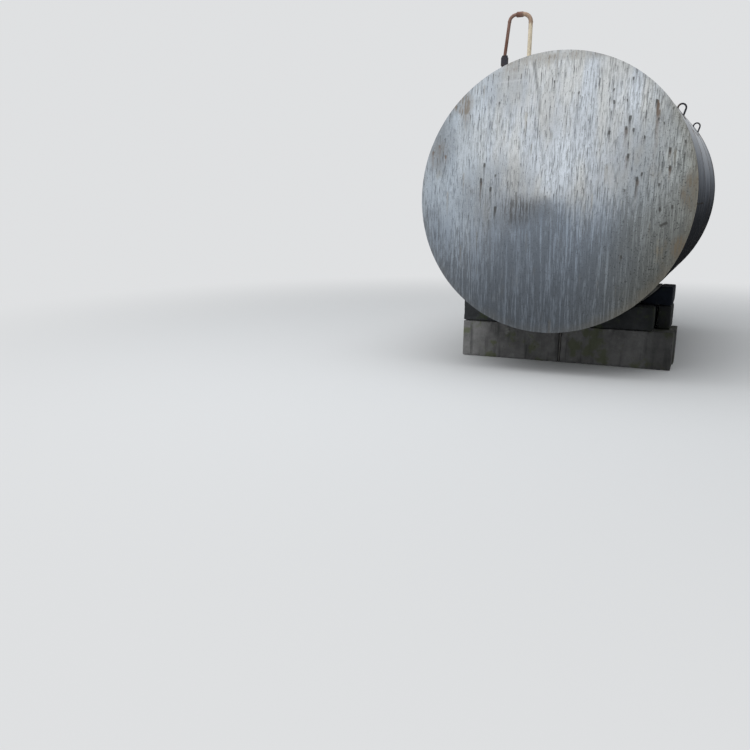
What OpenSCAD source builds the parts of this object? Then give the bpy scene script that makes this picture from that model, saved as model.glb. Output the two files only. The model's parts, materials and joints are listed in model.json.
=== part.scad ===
// Horizontal storage tank: a welded steel cylinder with shallow conical ends,
// lying on two saddles stacked from concrete foundation blocks.
// Millimetres. X across the tank, Y along its axis (front end at -Y), Z up from the ground.

/* [Shell] */
// Outer diameter of the rolled shell
shell_d = 2760; // [2000:10:3200]
// Number of rolled courses along the tank
course_count = 3; // [3:1:3]
// Length of one rolled course
course_l = 1420; // [1200:10:1600]
// Thickness of the shell plate
shell_t = 5; // [4:1:12]
// Height of the tank axis above the ground
axis_h = 1840; // [1780:10:2000]

/* [Ends] */
// Depth of the shallow cone of each end, from its edge to its tip
cone_depth = 180; // [80:5:320]
// Thickness of the end plates
head_t = 6; // [4:1:12]
// How far the edge of an end plate stands out past the shell
head_lip = 6; // [3:1:12]

/* [Welds] */
// Width of a weld bead
bead_w = 14; // [8:1:24]
// Height of a weld bead over the plate
bead_h = 3; // [2:0.5:5]

/* [Lifting lugs] */
// Diameter of the round bar that the lugs are bent from
lug_bar_d = 18; // [12:1:26]
// Radius of the eye, to the middle of the bar
lug_eye_r = 40; // [34:1:60]
// Distance from the weld up to the middle of the eye
lug_stand = 68; // [62:1:90]
// Distance between the two legs at the weld, middle to middle
lug_foot_gap = 26; // [24:1:40]
// How much the legs are thicker than the eye, all round
lug_leg_extra = 0.8; // [0.6:0.1:2]
// Angle of the lugs above the horizontal
lug_angle = 36; // [30:1:55]
// Lean of the lugs from upright, towards the crown of the tank
lug_lean = 8; // [0:1:20]
// Distance of each lug from the end of the shell
lug_inset = 790; // [400:10:900]

/* [Manhole] */
// Outer diameter of the manhole neck
neck_d = 620; // [500:10:800]
// Thickness of the neck plate
neck_t = 6; // [4:1:10]
// Height of the neck over the crown of the shell
neck_h = 130; // [115:5:260]
// Place of the manhole along the tank, from the middle of the shell
manhole_y = 300; // [-300:10:310]
// Width of the flange around the neck
neck_flange_w = 60; // [50:5:90]
// Thickness of the neck flange
neck_flange_t = 12; // [8:1:20]
// Thickness of the manhole cover
cover_t = 10; // [8:1:20]

/* [Filling nozzle] */
// Outer diameter of the nozzle pipe on the cover
nozzle_d = 89; // [60:1:114]
// Thickness of the nozzle pipe
nozzle_t = 4; // [3:0.5:6]
// Height of the nozzle over the cover, to the face of its flange
nozzle_h = 120; // [100:5:200]
// Outer diameter of the nozzle flange
nozzle_flange_d = 195; // [185:5:230]
// Thickness of the nozzle flange
nozzle_flange_t = 18; // [12:1:26]
// Diameter of the circle of bolt holes
bolt_circle_d = 160; // [150:1:170]
// Diameter of each bolt hole
bolt_hole_d = 18; // [12:1:20]
// Number of bolt holes
bolt_count = 4; // [4:4:8]

/* [Breather pipe] */
// Place of the breather pipe, from the front end of the shell
vent_inset = 450; // [300:10:600]
// Distance of the riser from the middle of the tank, to the left
riser_x = 410; // [300:5:440]
// Outer diameter of the riser
riser_d = 42; // [34:1:46]
// Radius of the riser's bend at the top
riser_bend_r = 80; // [60:5:120]
// Height of the top run of the pipe over the crown of the shell
vent_rise = 440; // [350:10:600]
// Thickness of both pipes
vent_pipe_t = 3.5; // [2.5:0.5:5]
// Length of the welds between the bends and the straight pipes
pipe_weld_l = 10; // [6:1:16]
// Height of those welds over the pipe
pipe_weld_h = 2; // [1:0.5:4]
// Length of the coupling in the top run
coupling_l = 62; // [50:1:90]
// Outer diameter of the coupling
coupling_d = 54; // [53:1:76]
// Outer diameter of the down pipe
drop_d = 34; // [27:1:46]
// Radius of the down pipe's bend
drop_bend_r = 70; // [55:5:100]
// Distance of the valve from the middle of the tank, to the left
valve_out = 665; // [620:5:720]
// Height of the valve over the shell that it stands on
nipple_h = 105; // [60:5:160]
// Width of the valve body at the foot of the down pipe
valve_w = 62; // [56:1:100]
// Height of the valve body
valve_h = 120; // [90:5:140]
// Height of the six-sided collar at each end of the valve body
valve_collar_h = 18; // [10:1:30]

/* [Supports] */
// Length of a saddle along the tank
support_l = 600; // [400:10:800]
// Distance from a saddle's inner face to the nearest girth seam
seam_clear = 20; // [15:5:100]
// How far the right side of the blocks lies in from the widest part of the shell
right_in = 130; // [60:10:180]
// How far the left side of the blocks lies in from the widest part of the shell
left_in = 270; // [120:10:320]
// Place of the upright joint between the two bottom blocks
base_joint_x = 40; // [0:10:120]
// Gap of the joints between blocks that stand side by side
joint_w = 20; // [10:1:30]
// Height of the second course of blocks
block_h = 265; // [220:5:280]
// Height of the third-course block
top_block_h = 205; // [160:5:280]
// Thickness of the mortar between the shell and the blocks
bed_t = 40; // [12:1:50]
// Thickness of the curved blocks where they are thinnest, at their inner edge
nose_h = 28; // [20:1:60]
// Width of the packing block that stands beside the second course
packing_w = 140; // [120:10:240]
// How far the packing block and the third-course block are set back
set_back = 200; // [0:10:220]
// How far those two blocks lie in from the right side of the bottom blocks
upper_in = 60; // [0:10:100]
// How far the rear saddle, which is turned round, lies off towards its high side
rear_shift = 80; // [0:10:100]
// Width of the upright groove in the end of a block, at its face
groove_w = 180; // [100:10:240]
// Depth of that groove
groove_depth = 45; // [20:5:60]
// How far the mortar between the bottom blocks stops below their tops
joint_drop = 75; // [40:5:120]

/* [Hidden] */

shell_r = shell_d / 2;
shell_l = course_count * course_l;
front_y = -shell_l / 2;
rear_y = shell_l / 2;
crown_z = axis_h + shell_r;
// Clearance between pieces that sit on or in each other
seat_gap = 0.3;
// How far a cut reaches past what it cuts
over = 1;
shell_fn = 360;
round_fn = 96;
bar_fn = 32;

paint = "silver";
dull_paint = "lightslategray";
rust = "sienna";
cream = "wheat";
iron = "dimgray";
concrete = "darkolivegreen";
mortar_grey = "gray";

// Cylinder along the tank's axis
module along(r, from_y, to_y) {
    translate([0, from_y, axis_h])
        rotate([-90, 0, 0])
            cylinder(r = r, h = to_y - from_y, $fn = shell_fn);
}

// Height of the outside of the shell over the ground, at a distance from the middle
function shell_z(x) = axis_h + sqrt(shell_r * shell_r - x * x);

// One rolled course of the shell, counted from the front
module shell_course(index) {
    from_y = front_y + (index - 1) * course_l;
    difference() {
        along(shell_r, from_y, from_y + course_l);
        along(shell_r - shell_t, from_y - over, from_y + course_l + over);
        children();
    }
}

// Opening for an upright pipe or neck of a given diameter
module upright_hole(x, y, d) {
    translate([x, y, axis_h])
        cylinder(d = d + 2 * seat_gap, h = shell_r + over, $fn = round_fn);
}

module shell_course_1() {
    color(paint)
        shell_course(1) {
            union() {
                upright_hole(-riser_x, front_y + vent_inset, riser_d);
                upright_hole(valve_x, front_y + vent_inset, drop_d);
            }
        }
}

module shell_course_2() {
    color(paint)
        shell_course(2)
            upright_hole(0, manhole_y, neck_d);
}

module shell_course_3() {
    color(paint)
        shell_course(3);
}

// Rounded bead around the shell, over the joint between two courses
module girth_weld(index) {
    bead_r = (bead_w * bead_w / 4 + bead_h * bead_h) / (2 * bead_h);
    color(paint)
        translate([0, front_y + index * course_l, axis_h])
            rotate([-90, 0, 0])
                rotate_extrude($fn = shell_fn)
                    intersection() {
                        translate([shell_r + bead_h - bead_r, 0])
                            circle(r = bead_r, $fn = round_fn);
                        translate([shell_r + seat_gap, -bead_w])
                            square([2 * bead_h, 2 * bead_w]);
                    }
}

// Shallow conical end plate with its edge standing proud of the shell, tip towards +Z
module cone_head() {
    slope_t = head_t / cos(atan(cone_depth / shell_r));
    edge_r = shell_r + head_lip;
    rotate_extrude($fn = shell_fn)
        polygon([
            [0, cone_depth], [shell_r, 0], [edge_r, 0], [edge_r, head_t],
            [shell_r, head_t], [0, cone_depth + slope_t]
        ]);
}

module front_head() {
    color(dull_paint)
        translate([0, front_y, axis_h])
            rotate([90, 0, 0])
                cone_head();
}

module rear_head() {
    color(dull_paint)
        translate([0, rear_y, axis_h])
            rotate([-90, 0, 0])
                cone_head();
}

// Round bar bent to an eye in the XZ plane, its legs drawn in towards the weld.
// The side is where the shell falls away, so the leg there reaches further down.
// The eye laps into the legs by an angle.
module lug_loop(side) {
    foot = lug_foot_gap / 2;
    leg = sqrt(foot * foot + lug_stand * lug_stand - lug_eye_r * lug_eye_r);
    lean_in = atan2(lug_stand, foot) - atan2(leg, lug_eye_r);
    lap = 8;
    translate([0, 0, lug_stand])
        rotate([90, 0, 0])
            rotate([0, 0, -lean_in - lap])
                rotate_extrude(angle = 180 + 2 * (lean_in + lap), $fn = round_fn)
                    translate([lug_eye_r, 0])
                        circle(d = lug_bar_d, $fn = bar_fn);
    for (leg_side = [-1, 1]) {
        low_reach = (foot + lug_bar_d) / tan(lug_angle);
        reach = leg_side == side ? low_reach : lug_bar_d / 2;
        translate([leg_side * foot, 0, 0])
            rotate([0, leg_side * lean_in, 0])
                translate([0, 0, -reach])
                    cylinder(d = lug_bar_d + 2 * lug_leg_extra, h = leg + reach, $fn = bar_fn);
    }
}

// Lug on the shoulder of the shell, its feet cut to the shell
module lifting_lug(side, y) {
    color(iron)
        difference() {
            translate([side * shell_r * cos(lug_angle), y, axis_h + shell_r * sin(lug_angle)])
                rotate([0, -side * lug_lean, 0])
                    lug_loop(side);
            along(shell_r + seat_gap, y - 2 * lug_bar_d, y + 2 * lug_bar_d);
        }
}

module lug_front_right() {
    lifting_lug(1, front_y + lug_inset);
}

module lug_rear_right() {
    lifting_lug(1, rear_y - lug_inset);
}

module lug_front_left() {
    lifting_lug(-1, front_y + lug_inset);
}

module lug_rear_left() {
    lifting_lug(-1, rear_y - lug_inset);
}

cover_d = neck_d + 2 * neck_flange_w;
neck_top_z = crown_z + neck_h;
cover_z = neck_top_z + seat_gap;
nozzle_face_z = cover_z + cover_t + nozzle_h;

// Manhole neck, set through the shell and cut flush with its inside
module manhole_neck() {
    color(paint)
        difference() {
            translate([0, manhole_y, axis_h])
                cylinder(d = neck_d, h = neck_top_z - axis_h, $fn = round_fn);
            translate([0, manhole_y, axis_h - over])
                cylinder(d = neck_d - 2 * neck_t, h = shell_r + neck_h + 2 * over, $fn = round_fn);
            along(shell_r - shell_t, manhole_y - neck_d, manhole_y + neck_d);
        }
}

// Flat ring around the top of the neck
module manhole_flange() {
    color(paint)
        translate([0, manhole_y, neck_top_z - neck_flange_t])
            difference() {
                cylinder(d = cover_d, h = neck_flange_t, $fn = round_fn);
                translate([0, 0, -over])
                    cylinder(d = neck_d + 2 * seat_gap, h = neck_flange_t + 2 * over, $fn = round_fn);
            }
}

// Flat round cover with the hole that the nozzle pipe passes through
module manhole_cover() {
    color(dull_paint)
        translate([0, manhole_y, cover_z])
            difference() {
                cylinder(d = cover_d, h = cover_t, $fn = round_fn);
                translate([0, 0, -over])
                    cylinder(d = nozzle_d + 2 * seat_gap, h = cover_t + 2 * over, $fn = round_fn);
            }
}

module nozzle_pipe() {
    color(rust)
        translate([0, manhole_y, cover_z])
            difference() {
                cylinder(d = nozzle_d, h = cover_t + nozzle_h, $fn = round_fn);
                translate([0, 0, -over])
                    cylinder(d = nozzle_d - 2 * nozzle_t, h = cover_t + nozzle_h + 2 * over, $fn = round_fn);
            }
}

// Flat flange around the top of the nozzle pipe, with its bolt holes
module nozzle_flange() {
    color(rust)
        translate([0, manhole_y, nozzle_face_z - nozzle_flange_t])
            difference() {
                cylinder(d = nozzle_flange_d, h = nozzle_flange_t, $fn = round_fn);
                translate([0, 0, -over])
                    cylinder(d = nozzle_d + 2 * seat_gap, h = nozzle_flange_t + 2 * over, $fn = round_fn);
                for (index = [0:bolt_count - 1])
                    rotate([0, 0, (index + 0.5) * 360 / bolt_count])
                        translate([bolt_circle_d / 2, 0, -over])
                            cylinder(d = bolt_hole_d, h = nozzle_flange_t + 2 * over, $fn = bar_fn);
            }
}

top_run_z = crown_z + vent_rise;
bend_x = -riser_x - riser_bend_r;
drop_bend_x = bend_x - coupling_l - pipe_weld_l - 2 * seat_gap;
valve_x = -valve_out;
valve_low_z = shell_z(valve_x) + nipple_h;
valve_top_z = valve_low_z + valve_h;
// The down pipe leaves its bend on the straight line that ends in the valve
drop_dx = drop_bend_x - valve_x;
drop_dz = top_run_z - drop_bend_r - valve_top_z;
drop_l = sqrt(drop_dx * drop_dx + drop_dz * drop_dz - drop_bend_r * drop_bend_r);
drop_lean = atan2(drop_dx, drop_dz) - atan2(drop_bend_r, drop_l);
drop_turn = 90 - drop_lean;
// How far each pipe reaches from its bend into the coupling
stub_l = pipe_weld_l / 2 + coupling_l / 3;

// Solid or hollow bend in the XZ plane: from the top run, turning down by an angle
module bend(bend_r, d, turn, side) {
    rotate([90, 0, 0])
        rotate([0, 0, side > 0 ? 90 - turn : 90])
            rotate_extrude(angle = turn, $fn = round_fn)
                translate([bend_r, 0])
                    circle(d = d, $fn = bar_fn);
}

// Weld ring around a pipe, standing on the XY plane's middle
module pipe_weld(d) {
    cylinder(d = d + 2 * pipe_weld_h, h = pipe_weld_l, center = true, $fn = bar_fn);
}

// Riser: stands through the shell and bends over to the left
module riser_form(d, ends) {
    translate([-riser_x, 0, axis_h])
        cylinder(d = d, h = top_run_z - riser_bend_r - axis_h, $fn = bar_fn);
    translate([bend_x, 0, top_run_z - riser_bend_r])
        bend(riser_bend_r, d, 90, 1);
    translate([bend_x - ends, 0, top_run_z])
        rotate([0, 90, 0])
            cylinder(d = d, h = ends, $fn = bar_fn);
}

module vent_riser() {
    color(cream)
        translate([0, front_y + vent_inset, 0])
            difference() {
                union() {
                    riser_form(riser_d, stub_l);
                    translate([-riser_x, 0, top_run_z - riser_bend_r])
                        pipe_weld(riser_d);
                    translate([bend_x, 0, top_run_z])
                        rotate([0, 90, 0])
                            pipe_weld(riser_d);
                }
                riser_form(riser_d - 2 * vent_pipe_t, stub_l + over);
                along(shell_r - shell_t, -riser_d, riser_d);
            }
}

// Thick sleeve that joins the two pipes in the top run
module vent_coupling() {
    color(rust)
        translate([drop_bend_x + pipe_weld_l / 2 + seat_gap, front_y + vent_inset, top_run_z])
            rotate([0, 90, 0])
                difference() {
                    cylinder(d = coupling_d, h = coupling_l, $fn = round_fn);
                    translate([0, 0, -over])
                        cylinder(d = drop_d + 2 * seat_gap, h = coupling_l / 2 + over, $fn = round_fn);
                    translate([0, 0, coupling_l / 2 - over])
                        cylinder(d = riser_d + 2 * seat_gap, h = coupling_l / 2 + 2 * over, $fn = round_fn);
                }
}

module drop_form(d, ends) {
    translate([drop_bend_x, 0, top_run_z])
        rotate([0, 90, 0])
            cylinder(d = d, h = ends, $fn = bar_fn);
    translate([drop_bend_x, 0, top_run_z - drop_bend_r])
        bend(drop_bend_r, d, drop_turn, -1);
    translate([valve_x, 0, valve_top_z])
        rotate([0, drop_lean, 0])
            translate([0, 0, -d / 2])
                cylinder(d = d, h = drop_l + d / 2, $fn = bar_fn);
}

module vent_drop_pipe() {
    color(rust)
        translate([0, front_y + vent_inset, 0])
            difference() {
                union() {
                    drop_form(drop_d, stub_l);
                    translate([drop_bend_x, 0, top_run_z])
                        rotate([0, 90, 0])
                            pipe_weld(drop_d);
                    translate([valve_x, 0, valve_top_z])
                        rotate([0, drop_lean, 0])
                            translate([0, 0, drop_l])
                                pipe_weld(drop_d);
                }
                drop_form(drop_d - 2 * vent_pipe_t, stub_l + over);
                translate([-shell_r, -shell_r, 0])
                    cube([shell_d, shell_d, valve_top_z + seat_gap]);
            }
}

// Square valve body with a collar above and below
module vent_valve() {
    color(iron)
        translate([valve_x, front_y + vent_inset, valve_low_z])
            union() {
                translate([-valve_w / 2, -valve_w / 2, valve_collar_h])
                    cube([valve_w, valve_w, valve_h - 2 * valve_collar_h]);
                cylinder(d = valve_w, h = valve_collar_h, $fn = 6);
                translate([0, 0, valve_h - valve_collar_h])
                    cylinder(d = valve_w, h = valve_collar_h, $fn = 6);
            }
}

// Short pipe that carries the valve on the shell
module vent_nipple() {
    color(rust)
        translate([valve_x, front_y + vent_inset, 0])
            difference() {
                translate([0, 0, axis_h])
                    cylinder(d = drop_d, h = valve_low_z - seat_gap - axis_h, $fn = bar_fn);
                translate([0, 0, axis_h - over])
                    cylinder(d = drop_d - 2 * vent_pipe_t, h = shell_r + vent_rise, $fn = bar_fn);
                translate([-valve_x, 0, 0])
                    along(shell_r - shell_t, -drop_d, drop_d);
            }
}

base_h = axis_h - shell_r - bed_t;
second_z = base_h + seat_gap;
second_top_z = base_h + block_h;
third_z = second_top_z + seat_gap;
third_top_z = second_top_z + top_block_h;
front_support_y = front_y + course_l - seam_clear - support_l;
rear_support_y = rear_y - course_l + seam_clear;
support_left = shell_r - left_in;
support_right = shell_r - right_in;
upper_right = support_right - upper_in;

// Distance from the tank's middle at which the underside of the mortar reaches a height
function bed_x(z) = sqrt(pow(shell_r + bed_t, 2) - pow(axis_h - z, 2));

saddle_inner = bed_x(base_h + nose_h);
top_inner = bed_x(second_top_z + nose_h);

// A saddle has a high side, with three courses, and a low side, with two. In the modules below,
// side is 1 if the high side is the tank's right and -1 if it is the left, and out is
// how far the whole saddle lies off towards its high side.

// Block between two distances from the middle, measured towards a side
module block(side, from_x, to_x, from_z, to_z, from_y, to_y) {
    translate([side > 0 ? from_x : -to_x, from_y, from_z])
        cube([to_x - from_x, to_y - from_y, to_z - from_z]);
}

// The same block with the shell's curve and its mortar cut out of it
module cut_block(side, from_x, to_x, from_z, to_z, from_y, to_y) {
    difference() {
        block(side, from_x, to_x, from_z, to_z, from_y, to_y);
        along(shell_r + bed_t, from_y - over, to_y + over);
    }
}

// Upright groove with sloping sides, cut into the end of a block that is support_l long.
// The end lies at x and faces the way of facing.
module end_groove(x, facing, y) {
    outer = groove_w / 2;
    inner = outer - groove_depth / 2;
    translate([x, y + support_l / 2, -over])
        linear_extrude(height = third_top_z)
            polygon([
                [facing * over, -outer], [0, -outer], [-facing * groove_depth, -inner],
                [-facing * groove_depth, inner], [0, outer], [facing * over, outer]
            ]);
}

// Bottom block on the high side
module high_base(side, out, y) {
    joint = base_joint_x + out + joint_w / 2;
    color(concrete)
        difference() {
            block(side, joint, support_right + out, 0, base_h, y, y + support_l);
            end_groove(side * joint, -side, y);
            end_groove(side * (support_right + out), side, y);
        }
}

// Bottom block on the low side
module low_base(side, out, y) {
    joint = base_joint_x + out - joint_w / 2;
    color(concrete)
        difference() {
            block(side, out - support_left, joint, 0, base_h, y, y + support_l);
            end_groove(side * (out - support_left), -side, y);
            end_groove(side * joint, side, y);
        }
}

// Second-course block on the high side
module high_saddle(side, out, y) {
    end_x = upper_right + out - packing_w - joint_w;
    color(concrete)
        difference() {
            cut_block(side, saddle_inner, end_x, second_z, second_top_z, y, y + support_l);
            end_groove(side * end_x, side, y);
        }
}

// Second-course block on the low side
module low_saddle(side, out, y) {
    end_x = support_left - out;
    color(concrete)
        difference() {
            cut_block(-side, saddle_inner, end_x, second_z, second_top_z, y, y + support_l);
            end_groove(-side * end_x, -side, y);
        }
}

// Narrow block beside the second course
module packing_block(side, out, y) {
    color(concrete)
        block(side, upper_right + out - packing_w, upper_right + out, second_z, second_top_z,
            y, y + support_l - set_back);
}

// Third-course block
module top_block(side, out, y) {
    color(concrete)
        cut_block(side, top_inner, upper_right + out, third_z, third_top_z, y, y + support_l - set_back);
}

// Mortar between the two bottom blocks, which fills their grooves too
module joint_mortar(x, y) {
    strip = joint_w / 2 - seat_gap;
    outer = groove_w / 2 - seat_gap;
    inner = outer - groove_depth / 2;
    key = strip + groove_depth;
    translate([x, y + support_l / 2, 0])
        linear_extrude(height = base_h - joint_drop)
            polygon([
                [-strip, -support_l / 2], [strip, -support_l / 2], [strip, -outer], [key, -inner],
                [key, inner], [strip, outer], [strip, support_l / 2], [-strip, support_l / 2],
                [-strip, outer], [-key, inner], [-key, -inner], [-strip, -outer]
            ]);
}

// Mortar that the shell lies in: a layer struck off level with the tops of the blocks,
// filled down to the bottom blocks in the middle. The third course starts at top_y.
module mortar(side, out, y, top_y) {
    fill = saddle_inner - seat_gap;
    top_end = top_y + support_l - set_back;
    color(mortar_grey)
        joint_mortar(side * (base_joint_x + out), y);
    color(mortar_grey)
        difference() {
            union() {
                intersection() {
                    along(shell_r + bed_t - seat_gap, y - over, y + support_l + over);
                    union() {
                        block(1, -shell_r, shell_r, 0, second_top_z, y, y + support_l);
                        block(side, 0, shell_r, second_top_z - over, third_top_z, top_y, top_end);
                    }
                }
                block(1, -fill, fill, second_z, base_h + bed_t, y, y + support_l);
            }
            along(shell_r + seat_gap, y - 2 * over, y + support_l + 2 * over);
        }
}

module front_base_left() {
    low_base(1, 0, front_support_y);
}

module front_base_right() {
    high_base(1, 0, front_support_y);
}

module front_saddle_left() {
    low_saddle(1, 0, front_support_y);
}

module front_saddle_right() {
    high_saddle(1, 0, front_support_y);
}

module front_packing_block() {
    packing_block(1, 0, front_support_y + set_back);
}

module front_top_block() {
    top_block(1, 0, front_support_y + set_back);
}

module front_mortar() {
    mortar(1, 0, front_support_y, front_support_y + set_back);
}

module rear_base_left() {
    high_base(-1, rear_shift, rear_support_y);
}

module rear_base_right() {
    low_base(-1, rear_shift, rear_support_y);
}

module rear_saddle_left() {
    high_saddle(-1, rear_shift, rear_support_y);
}

module rear_saddle_right() {
    low_saddle(-1, rear_shift, rear_support_y);
}

module rear_packing_block() {
    packing_block(-1, rear_shift, rear_support_y);
}

module rear_top_block() {
    top_block(-1, rear_shift, rear_support_y);
}

module rear_mortar() {
    mortar(-1, rear_shift, rear_support_y, rear_support_y);
}

shell_course_1();
shell_course_2();
shell_course_3();
girth_weld(1);  // girth_weld_1
girth_weld(2);  // girth_weld_2
front_head();
rear_head();
lug_front_right();
lug_rear_right();
lug_front_left();
lug_rear_left();
manhole_neck();
manhole_flange();
manhole_cover();
nozzle_pipe();
nozzle_flange();
vent_riser();
vent_coupling();
vent_drop_pipe();
vent_valve();
vent_nipple();
front_base_left();
front_base_right();
front_saddle_left();
front_saddle_right();
front_packing_block();
front_top_block();
front_mortar();
rear_base_left();
rear_base_right();
rear_saddle_left();
rear_saddle_right();
rear_packing_block();
rear_top_block();
rear_mortar();
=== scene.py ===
"""Looks of a horizontal steel storage tank that lies on concrete saddles.

Metres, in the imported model's frame: X across the tank, Y along it from the front end, Z up.
"""
import json
import math
import random

import bmesh
import bpy
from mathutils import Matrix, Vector, noise


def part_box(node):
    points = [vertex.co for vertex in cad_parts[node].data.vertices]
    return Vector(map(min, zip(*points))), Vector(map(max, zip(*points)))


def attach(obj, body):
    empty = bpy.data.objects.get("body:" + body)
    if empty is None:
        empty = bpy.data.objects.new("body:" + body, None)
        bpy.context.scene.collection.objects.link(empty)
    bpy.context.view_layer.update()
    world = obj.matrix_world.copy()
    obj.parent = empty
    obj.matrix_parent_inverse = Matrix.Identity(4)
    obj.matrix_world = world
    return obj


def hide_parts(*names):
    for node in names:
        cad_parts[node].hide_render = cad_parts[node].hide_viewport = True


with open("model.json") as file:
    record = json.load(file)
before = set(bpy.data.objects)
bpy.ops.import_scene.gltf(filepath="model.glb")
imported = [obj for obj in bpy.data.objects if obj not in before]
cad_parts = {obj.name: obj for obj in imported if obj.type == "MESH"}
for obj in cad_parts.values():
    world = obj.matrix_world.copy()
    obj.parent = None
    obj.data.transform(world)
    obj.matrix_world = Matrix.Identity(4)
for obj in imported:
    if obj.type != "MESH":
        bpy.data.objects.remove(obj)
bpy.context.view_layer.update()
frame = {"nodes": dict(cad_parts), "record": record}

random.seed(7)

# Sizes, read from the frame
SHELL_LOW, SHELL_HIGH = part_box("shell_course_2")
SHELL_R = (SHELL_HIGH.x - SHELL_LOW.x) / 2
AXIS_Z = (SHELL_HIGH.z + SHELL_LOW.z) / 2
COURSES = [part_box(f"shell_course_{number}") for number in range(1, 4)]
FRONT_Y = COURSES[0][0].y
REAR_Y = COURSES[2][1].y
SEAM_YS = [low.y for low, high in COURSES[1:]]
COURSE_L = COURSES[0][1].y - FRONT_Y
RISER_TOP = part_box("vent_riser")[1].z

# Plate of the ends
PLATE_T = 0.006
# Weld beads, as width and height over the plate
LONG_BEAD = (0.014, 0.003)
RIM_BEAD = (0.009, 0.0042)
RADIAL_BEAD = (0.013, 0.0024)
LUG_BEAD = (0.010, 0.007)
NECK_BEAD = (0.014, 0.008)
COVER_BEAD = (0.010, 0.005)
NOZZLE_BEAD = (0.008, 0.004)
PIPE_BEAD = (0.011, 0.006)
# Steps along a long seam, a radial seam and around a rim, and sides of a bead's round top
LONG_STEPS = 150
RADIAL_STEPS = 170
RIM_STEPS = 1000
BEAD_SIDES = 5
# Distance between the points of a bead around a pipe
PIPE_STEP = 0.008
# How far a long seam ends before its course does, a rim bead lies inside the shell's end, and the
# bead around the manhole's neck lies outside the neck
LONG_GAP = 0.008
RIM_IN = 0.0012
NECK_OUT = 0.002
# How far a radial seam begins from the tip and ends before the edge
RADIAL_FROM, RADIAL_TO = 0.02, 0.01
# Radial seams of the two ends, from the top towards the left
FRONT_SEAM = math.radians(12.4)
REAR_SEAM = math.radians(-24)
# One long seam of each course, in degrees above the horizontal on the right. The other is opposite.
LONG_SEAMS = [-2.6, 31, -16]
# Feet of a lug: how far each is from their middle, how far out that is from the middle of the
# lug's box, and the radius of the beads around them
LUG_FOOT = 0.013
LUG_SHIFT = 0.013
LUG_BEAD_R = 0.013
# Upright pipe of the breather, and how far the welds stand out from it
RISER_D = 0.042
PIPE_WELD_H = 0.002

# Manhole bolts: number, how far their circle lies outside the middle of the rim, width across the
# flats, heights of head and nut, washer, thread, and how far thread and nut reach below the flange
BOLTS = 24
BOLT_OUT = 0.004
BOLT_FLATS = 0.024
BOLT_HEAD_H = 0.010
NUT_H = 0.0135
WASHER_R, WASHER_T = 0.015, 0.003
THREAD_R = 0.008
THREAD_DROP = 0.026
NUT_DROP = 0.014

# Weathered concrete: size of the remeshing cells, depth of the wear and width of the worn edges
BLOCK_CELL, BLOCK_WEAR = 0.013, 0.006
MORTAR_CELL, MORTAR_WEAR = 0.009, 0.004
WORN_EDGE = 0.05

# Aluminium paint of the ends: cool and warm above, on the left, in the painted shade and grime
# below, on the right
COOL_TINT = (0.492, 0.523, 0.562)
WARM_TINT = (0.516, 0.524, 0.522)
LEFT_TINT = (0.450, 0.510, 0.575)
SHADE_AND_GRIME_TINT = (0.412, 0.476, 0.562)
RIGHT_TINT = (0.49, 0.50, 0.445)
# What lies on it: moss at the edge, ochre patches, old drips, stains, runs, scuffs and pale seam
# lines
EDGE_MOSS = (0.17, 0.15, 0.11)
OCHRE = (0.21, 0.165, 0.100)
OLD_DRIP = (0.22, 0.17, 0.085)
BROWN = (0.150, 0.115, 0.075)
RUST = (0.130, 0.078, 0.045)
DARK = (0.045, 0.043, 0.039)
# The pale of the seam lines is partly a painted highlight on the radial seam's bead
SEAM_PALE = (0.62, 0.63, 0.64)
# Paint of the shell above, and underneath where painted shade and grime darken it, dust on the
# crown, rust by the seams and in runs
UPPER_SHELL = (0.470, 0.488, 0.510)
SHADED_UNDER_SHELL = (0.385, 0.430, 0.520)
CROWN_DUST = (0.22, 0.20, 0.15)
SEAM_RUST = (0.20, 0.105, 0.055)
SHELL_RUST = (0.24, 0.125, 0.060)
# Rust on the weld beads, and the deepest rust of the pipes
WELD_RUST = (0.19, 0.125, 0.080)
DEEP_RUST = (0.09, 0.045, 0.025)
# Damp runs and lime of the concrete, and the painted shade in its pits
DAMP = (0.020, 0.022, 0.022)
LIME = (0.30, 0.30, 0.28)
PIT_SHADE = (0.012, 0.012, 0.012)

# Stage: background, floor, where the floor fades into the background, half its width, how far it
# lies below the part, and the sky's colour and strength
BACKGROUND = (0.74, 0.75, 0.76)
FLOOR = (0.71, 0.71, 0.71)
FADE_FROM, FADE_TO = 3.5, 10.0
FLOOR_REACH = 60.0
FLOOR_DROP = 0.001
SKY = (0.93, 0.97, 1.0)
SKY_STRENGTH = 0.40
# Lamps: name, place, what they point at, width, power
LAMPS = [
    ("overhead", (-1.5, -3.0, 11.0), (0, 0, 1.5), 12.0, 930.0),
    ("front_fill", (-5.0, -12.0, 7.0), (0, 0, 1.8), 8.0, 310.0),
]
LAMP_COLOUR = (0.96, 0.98, 1.0)
# Camera: place, turn in degrees, focal length and shift
CAMERA_PLACE = (1.834, -11.120, 1.869)
CAMERA_TURN = (74.76, 0.0, 25.02)
CAMERA_LENS = 40.675
CAMERA_SHIFT = (0.0461, 0.0669)

# Marks of the front end, at their places in metres.
# Rust runs: across, height over the axis, width, length, strength
RUST_RUNS = [
    (0.948, 0.880, 0.032, 0.10, 0.90),
    (0.955, 0.852, 0.036, 0.18, 0.90),
    (0.966, 0.790, 0.046, 0.50, 0.60),
    (1.113, 0.274, 0.030, 0.11, 0.90),
    (1.100, 0.428, 0.034, 0.14, 0.50),
    (0.687, 0.635, 0.050, 0.20, 0.45),
    (0.715, 0.380, 0.040, 0.22, 0.35),
    (-0.710, 0.144, 0.028, 0.23, 0.60),
    (0.831, 0.156, 0.046, 0.20, 0.50),
    (-1.123, 0.420, 0.029, 0.07, 0.70),
    (-1.197, 0.523, 0.025, 0.14, 0.55),
    (-1.269, 0.464, 0.031, 0.23, 0.60),
]
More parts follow.
